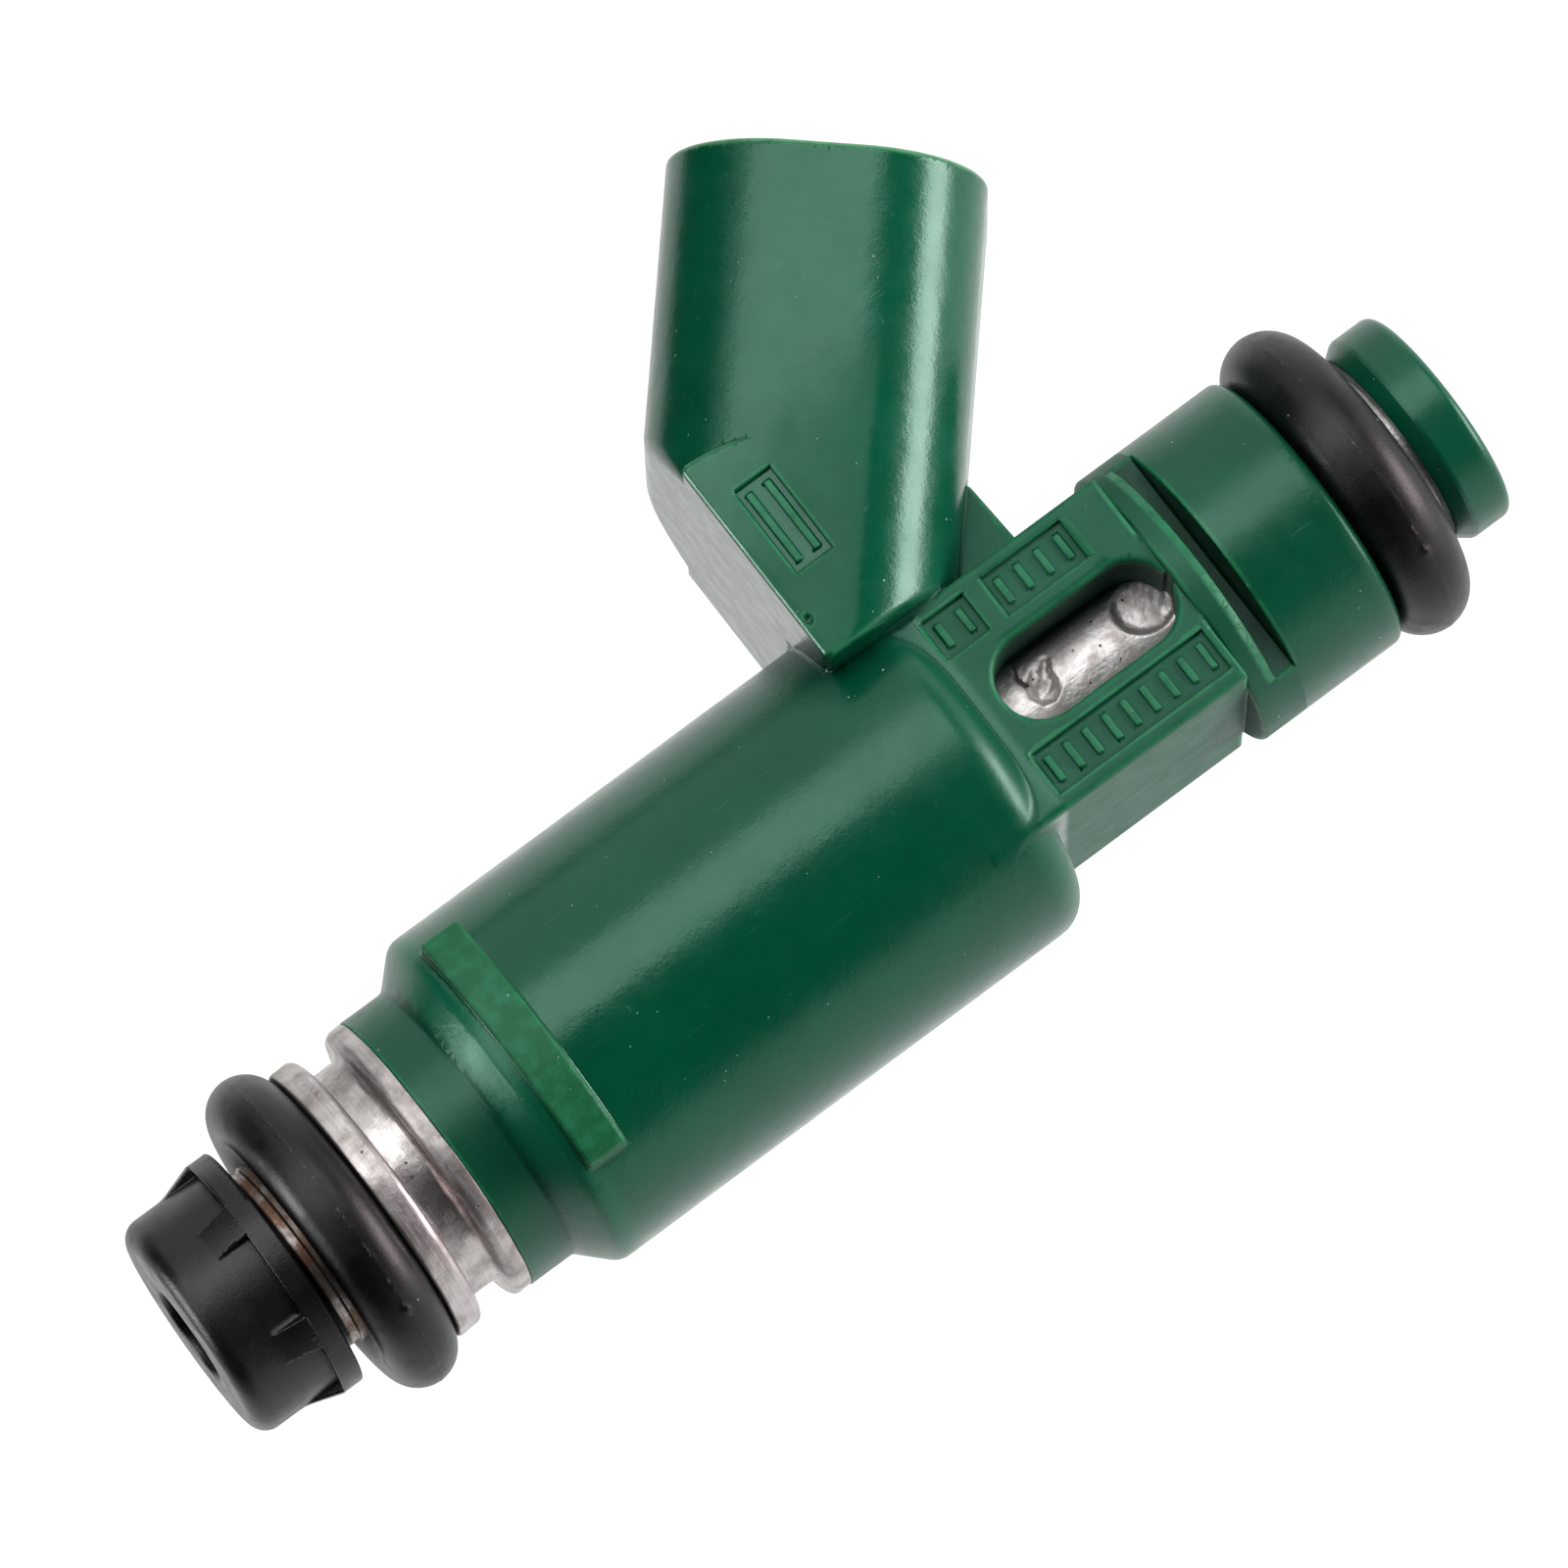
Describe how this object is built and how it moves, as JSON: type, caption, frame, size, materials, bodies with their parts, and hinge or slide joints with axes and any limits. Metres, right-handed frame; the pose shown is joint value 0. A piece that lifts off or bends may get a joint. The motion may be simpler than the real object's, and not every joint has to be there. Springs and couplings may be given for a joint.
{
  "type": "fuel injector",
  "caption": "Top-feed fuel injector with a slanted side connector, two sealing rings, a nozzle cap and a spring-closed needle valve.",
  "frame": {"origin": "centre of the nozzle tip, on the injector's axis, in the plane of the cap's end face", "axes": "+Z along the axis from the nozzle to the fuel inlet; the connector leans towards -X; the label block and its window face -Y"},
  "size_m": [0.0345, 0.0168, 0.0633],
  "materials": {
    "black_plastic": "satin black moulded plastic",
    "steel_bright": "stamped stainless steel",
    "steel_ground": "ground stainless steel",
    "steel_turned": "turned stainless steel, scuffed, stained brown at the tip",
    "seal_rubber": "black fluorocarbon rubber, semi-matte",
    "steel_magnetic": "plated magnetic steel",
    "steel_spring": "drawn spring wire",
    "brass_tube": "drawn brass",
    "steel_tube": "drawn stainless steel with stake marks",
    "bobbin_plastic": "dark glass-filled plastic",
    "copper_wire": "enamelled copper wire",
    "contact_metal": "tin-plated brass",
    "green_plastic": "glossy green moulded plastic",
    "filter_plastic": "natural nylon",
    "filter_screen": "fine woven screen"
  },
  "bodies": {
    "injector": {"nozzle_cap": "black_plastic", "orifice_plate": "steel_bright", "valve_seat": "steel_ground", "valve_body": "steel_turned", "lower_o_ring": "seal_rubber", "lift_stop": "steel_ground", "return_spring": "steel_spring", "adjusting_tube": "brass_tube", "nonmagnetic_ring": "steel_bright", "core_tube": "steel_tube", "coil_yoke": "steel_magnetic", "yoke_washer": "steel_magnetic", "bobbin": "bobbin_plastic", "coil_winding": "copper_wire", "lower_coil_seal": "seal_rubber", "upper_coil_seal": "seal_rubber", "terminal_left": "contact_metal", "terminal_right": "contact_metal", "overmould": "green_plastic", "upper_o_ring": "seal_rubber", "inlet_retainer": "green_plastic", "filter_frame": "filter_plastic", "filter_mesh": "filter_screen"},
    "valve": {"needle": "steel_ground", "armature": "steel_magnetic"}
  },
  "joints": [
    {"name": "needle_lift", "type": "slide", "parent": "injector", "child": "valve", "axis": [0, 0, 1], "range_m": [0, 0.00008], "stiffness_N_per_m": 1000, "springref_m": -0.002, "deforming": ["return_spring"]}
  ]
}
